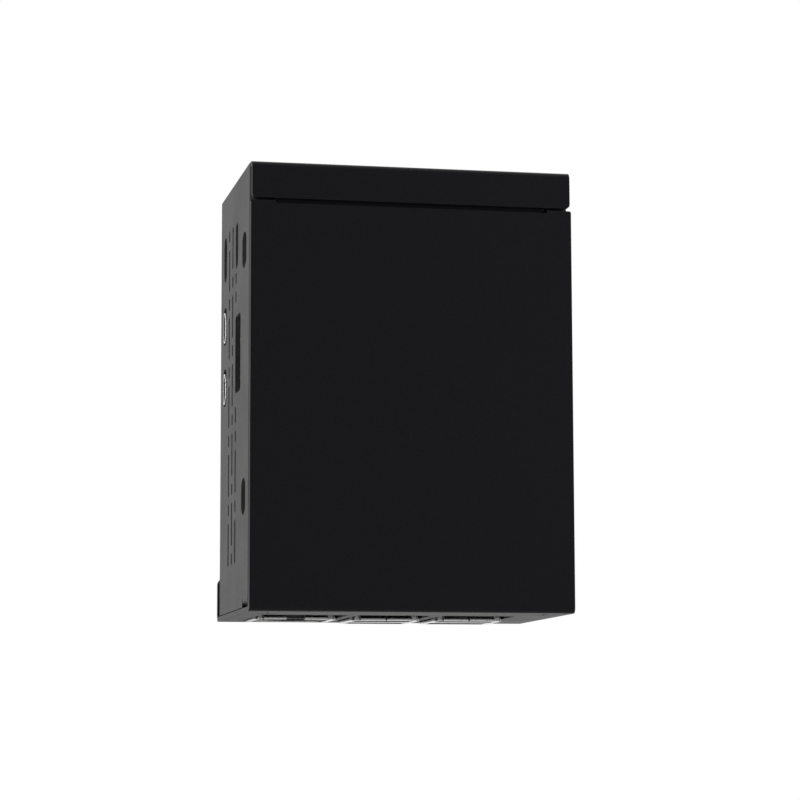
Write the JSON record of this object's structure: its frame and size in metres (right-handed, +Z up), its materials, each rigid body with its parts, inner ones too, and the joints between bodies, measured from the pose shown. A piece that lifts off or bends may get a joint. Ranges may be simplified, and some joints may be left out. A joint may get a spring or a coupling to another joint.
{
  "type": "single-board computer case",
  "caption": "Black folded-sheet case for a single-board computer, with side vents, port openings and a spring clip on the back for a 35 mm rail.",
  "frame": {"origin": "middle of the part's box at its lowest point, the mouths of the double ports", "axes": "+Z up, +Y from the front panel to the rail clip, +X to the right seen from the front"},
  "size_m": [0.0672, 0.0546, 0.0925],
  "materials": {
    "case_coat": "fine textured black powder coat",
    "black_screw": "black oxide",
    "plated_steel": "bright zinc plate",
    "board_mask": "satin solder mask",
    "chip_body": "matte moulded epoxy",
    "lid_metal": "satin nickel plate",
    "port_steel": "bright nickel plate",
    "insert_black": "moulded plastic",
    "insert_blue": "moulded plastic",
    "pin_gold": "gold flash",
    "ivory_plastic": "moulded plastic",
    "lamp_lens": "clear epoxy",
    "ferrite": "sintered ferrite",
    "ceramic": "fired ceramic",
    "clip_nylon": "glass-filled nylon",
    "spring_steel": "drawn wire"
  },
  "bodies": {
    "case": {"rear_base": "case_coat", "front_cover": "case_coat", "cover_screws": "black_screw", "board_standoffs": "plated_steel", "board_screws": "plated_steel", "bracket_screws": "plated_steel", "circuit_board": "board_mask", "memory_chip": "chip_body", "io_controller": "chip_body", "power_controller": "chip_body", "network_chip": "chip_body", "processor": "lid_metal", "radio_can": "lid_metal", "card_slot": "lid_metal", "ethernet_shell": "port_steel", "usb_left_shell": "port_steel", "usb_right_shell": "port_steel", "power_port_shell": "port_steel", "video_upper_shell": "port_steel", "video_lower_shell": "port_steel", "ethernet_insert": "insert_black", "usb_right_insert": "insert_black", "power_port_tongue": "insert_black", "video_upper_tongue": "insert_black", "video_lower_tongue": "insert_black", "header_base": "insert_black", "aux_header_base": "insert_black", "camera_upper_socket": "insert_black", "camera_lower_socket": "insert_black", "expansion_socket": "insert_black", "usb_left_insert": "insert_blue", "header_pins": "pin_gold", "ethernet_contacts": "pin_gold", "usb_left_contacts": "pin_gold", "usb_right_contacts": "pin_gold", "fan_socket": "ivory_plastic", "debug_socket": "ivory_plastic", "clock_socket": "ivory_plastic", "button_body": "ivory_plastic", "status_lamp": "lamp_lens", "ethernet_lamps": "lamp_lens", "inductors": "ferrite", "capacitors": "ceramic", "rail_bracket": "clip_nylon", "latch_spring": "spring_steel"},
    "rail_latch_body": {"rail_latch": "clip_nylon"},
    "button_body_moving": {"button_plunger": "ivory_plastic"},
    "camera_upper_latch_body": {"camera_upper_latch": "ivory_plastic"},
    "camera_lower_latch_body": {"camera_lower_latch": "ivory_plastic"},
    "expansion_latch_body": {"expansion_latch": "ivory_plastic"}
  },
  "joints": [
    {"name": "rail_latch_slide", "type": "slide", "parent": "case", "child": "rail_latch_body", "axis": [0, 0, -1], "range_m": [0, 0.004], "stiffness_N_per_m": 600, "springref_m": -0.003, "deforming": ["latch_spring"]},
    {"name": "button_press", "type": "slide", "parent": "case", "child": "button_body_moving", "axis": [0, 0, -1], "range_m": [0, 0.00025], "stiffness_N_per_m": 1500, "springref_m": -0.0001},
    {"name": "camera_upper_latch_lift", "type": "slide", "parent": "case", "child": "camera_upper_latch_body", "axis": [0, -1, 0], "range_m": [0, 0.001]},
    {"name": "camera_lower_latch_lift", "type": "slide", "parent": "case", "child": "camera_lower_latch_body", "axis": [0, -1, 0], "range_m": [0, 0.001]},
    {"name": "expansion_latch_lift", "type": "slide", "parent": "case", "child": "expansion_latch_body", "axis": [0, -1, 0], "range_m": [0, 0.001]}
  ]
}
